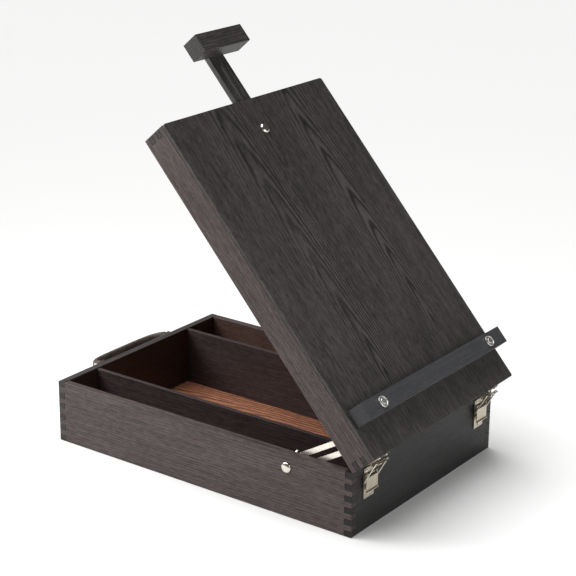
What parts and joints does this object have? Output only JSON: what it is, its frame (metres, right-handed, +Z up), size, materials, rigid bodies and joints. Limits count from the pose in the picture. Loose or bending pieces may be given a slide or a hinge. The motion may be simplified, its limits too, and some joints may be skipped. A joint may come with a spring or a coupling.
{
  "type": "table-top box easel",
  "caption": "Table-top artist's box easel: finger-jointed sketch box with compartments, tilting lid on slotted stays, canvas ledge, sliding clamp mast, toggle latches.",
  "frame": {"origin": "centre of the box's underside, at table height", "axes": "+X to the painter's right, +Y away from the painter towards the carrying handle, +Z up; the lid hinges along the front edge at -Y"},
  "size_m": [0.2982, 0.4781, 0.4885],
  "materials": {
    "stained_wood": "ebony-stained open-grain ash, satin",
    "ply": "reddish-brown stained thin board",
    "nickel": "bright nickel plate",
    "leather": "dark brown leather"
  },
  "bodies": {
    "base": {"base_left_wall": "stained_wood", "base_right_wall": "stained_wood", "base_front_wall": "stained_wood", "base_back_wall": "stained_wood", "base_floor_panel": "ply", "left_divider": "ply", "right_divider": "ply", "stay_bolt_left": "nickel", "stay_bolt_right": "nickel", "stay_washer_left": "nickel", "stay_washer_right": "nickel", "handle_bracket_left": "nickel", "handle_bracket_right": "nickel", "handle_pin_left": "nickel", "handle_pin_right": "nickel", "latch_plate_front_left": "nickel", "latch_pin_front_left": "nickel", "latch_plate_front_right": "nickel", "latch_pin_front_right": "nickel", "latch_plate_back_left": "nickel", "latch_pin_back_left": "nickel", "latch_plate_back_right": "nickel", "latch_pin_back_right": "nickel"},
    "lid": {"lid_left_rail": "stained_wood", "lid_right_rail": "stained_wood", "lid_lower_rail": "stained_wood", "lid_upper_rail": "stained_wood", "lid_panel": "stained_wood", "ledge": "stained_wood", "ledge_bolt_left": "nickel", "ledge_bolt_right": "nickel", "ledge_nut_left": "nickel", "ledge_nut_right": "nickel", "mast_bolt": "nickel", "mast_washer": "nickel", "latch_catch_front_left": "nickel", "latch_catch_front_right": "nickel", "latch_catch_back_left": "nickel", "latch_catch_back_right": "nickel"},
    "mast": {"mast": "stained_wood", "mast_head": "stained_wood"},
    "mast_wing_nut": {"mast_wing_nut": "nickel"},
    "handle": {"handle_grip": "leather"},
    "stay_left": {"stay_left": "nickel", "stay_pin_left": "nickel"},
    "stay_wing_nut_left": {"stay_wing_nut_left": "nickel"},
    "stay_right": {"stay_right": "nickel", "stay_pin_right": "nickel"},
    "stay_wing_nut_right": {"stay_wing_nut_right": "nickel"},
    "latch_lever_front_left": {"latch_lever_front_left": "nickel"},
    "latch_bail_front_left": {"latch_bail_front_left": "nickel"},
    "latch_lever_front_right": {"latch_lever_front_right": "nickel"},
    "latch_bail_front_right": {"latch_bail_front_right": "nickel"},
    "latch_lever_back_left": {"latch_lever_back_left": "nickel"},
    "latch_bail_back_left": {"latch_bail_back_left": "nickel"},
    "latch_lever_back_right": {"latch_lever_back_right": "nickel"},
    "latch_bail_back_right": {"latch_bail_back_right": "nickel"}
  },
  "joints": [
    {"name": "lid_tilt", "type": "hinge", "parent": "base", "child": "lid", "pos_m": [0, -0.21, 0.0755], "axis": [1, 0, 0], "range_deg": [-48.4, 15]},
    {"name": "mast_slide", "type": "slide", "parent": "lid", "child": "mast", "axis": [0, 0.6639, 0.7478], "range_m": [-0.0607, 0.235]},
    {"name": "mast_wing_nut_turn", "type": "hinge", "parent": "lid", "child": "mast_wing_nut", "pos_m": [0, 0.028, 0.37369], "axis": [0, -0.7478, 0.6639], "continuous": true},
    {"name": "stay_slide_left", "type": "slide", "parent": "base", "child": "stay_left", "axis": [0, -0.8586, 0.5127], "range_m": [-0.0266, 0.0083]},
    {"name": "stay_wing_nut_turn_left", "type": "hinge", "parent": "base", "child": "stay_wing_nut_left", "pos_m": [-0.13, -0.124, 0.0585], "axis": [1, 0, 0], "continuous": true},
    {"name": "stay_slide_right", "type": "slide", "parent": "base", "child": "stay_right", "axis": [0, -0.8586, 0.5127], "range_m": [-0.0266, 0.0083]},
    {"name": "stay_wing_nut_turn_right", "type": "hinge", "parent": "base", "child": "stay_wing_nut_right", "pos_m": [0.13, -0.124, 0.0585], "axis": [1, 0, 0], "continuous": true},
    {"name": "latch_lever_turn_front_left", "type": "hinge", "parent": "base", "child": "latch_lever_front_left", "pos_m": [-0.1155, -0.2126, 0.066], "axis": [-1, 0, 0], "range_deg": [0, 95]},
    {"name": "latch_bail_turn_front_left", "type": "hinge", "parent": "base", "child": "latch_bail_front_left", "pos_m": [-0.1155, -0.2126, 0.0581], "axis": [1, 0, 0], "range_deg": [-27.9, 8.7]},
    {"name": "latch_lever_turn_front_right", "type": "hinge", "parent": "base", "child": "latch_lever_front_right", "pos_m": [0.1155, -0.2126, 0.066], "axis": [-1, 0, 0], "range_deg": [0, 95]},
    {"name": "latch_bail_turn_front_right", "type": "hinge", "parent": "base", "child": "latch_bail_front_right", "pos_m": [0.1155, -0.2126, 0.0581], "axis": [1, 0, 0], "range_deg": [-27.9, 8.7]},
    {"name": "latch_lever_turn_back_left", "type": "hinge", "parent": "base", "child": "latch_lever_back_left", "pos_m": [-0.1155, 0.2126, 0.066], "axis": [1, 0, 0], "range_deg": [0, 95]},
    {"name": "latch_bail_turn_back_left", "type": "hinge", "parent": "latch_lever_back_left", "child": "latch_bail_back_left", "pos_m": [-0.1155, 0.2126, 0.0581], "axis": [-1, 0, 0], "range_deg": [-176, 2.5]},
    {"name": "latch_lever_turn_back_right", "type": "hinge", "parent": "base", "child": "latch_lever_back_right", "pos_m": [0.1155, 0.2126, 0.066], "axis": [1, 0, 0], "range_deg": [0, 95]},
    {"name": "latch_bail_turn_back_right", "type": "hinge", "parent": "latch_lever_back_right", "child": "latch_bail_back_right", "pos_m": [0.1155, 0.2126, 0.0581], "axis": [-1, 0, 0], "range_deg": [-176, 2.5]},
    {"name": "handle_swing", "type": "hinge", "parent": "base", "child": "handle", "pos_m": [0, 0.2182, 0.0675], "axis": [1, 0, 0], "range_deg": [-64, 96]}
  ],
  "couplings": [
    {"joint": "stay_slide_left", "follows": "lid_tilt", "m_per_rad": 0.0312},
    {"joint": "stay_slide_right", "follows": "lid_tilt", "m_per_rad": 0.0312},
    {"joint": "latch_bail_turn_front_left", "follows": "lid_tilt", "ratio": 0.574},
    {"joint": "latch_bail_turn_front_right", "follows": "lid_tilt", "ratio": 0.574}
  ]
}
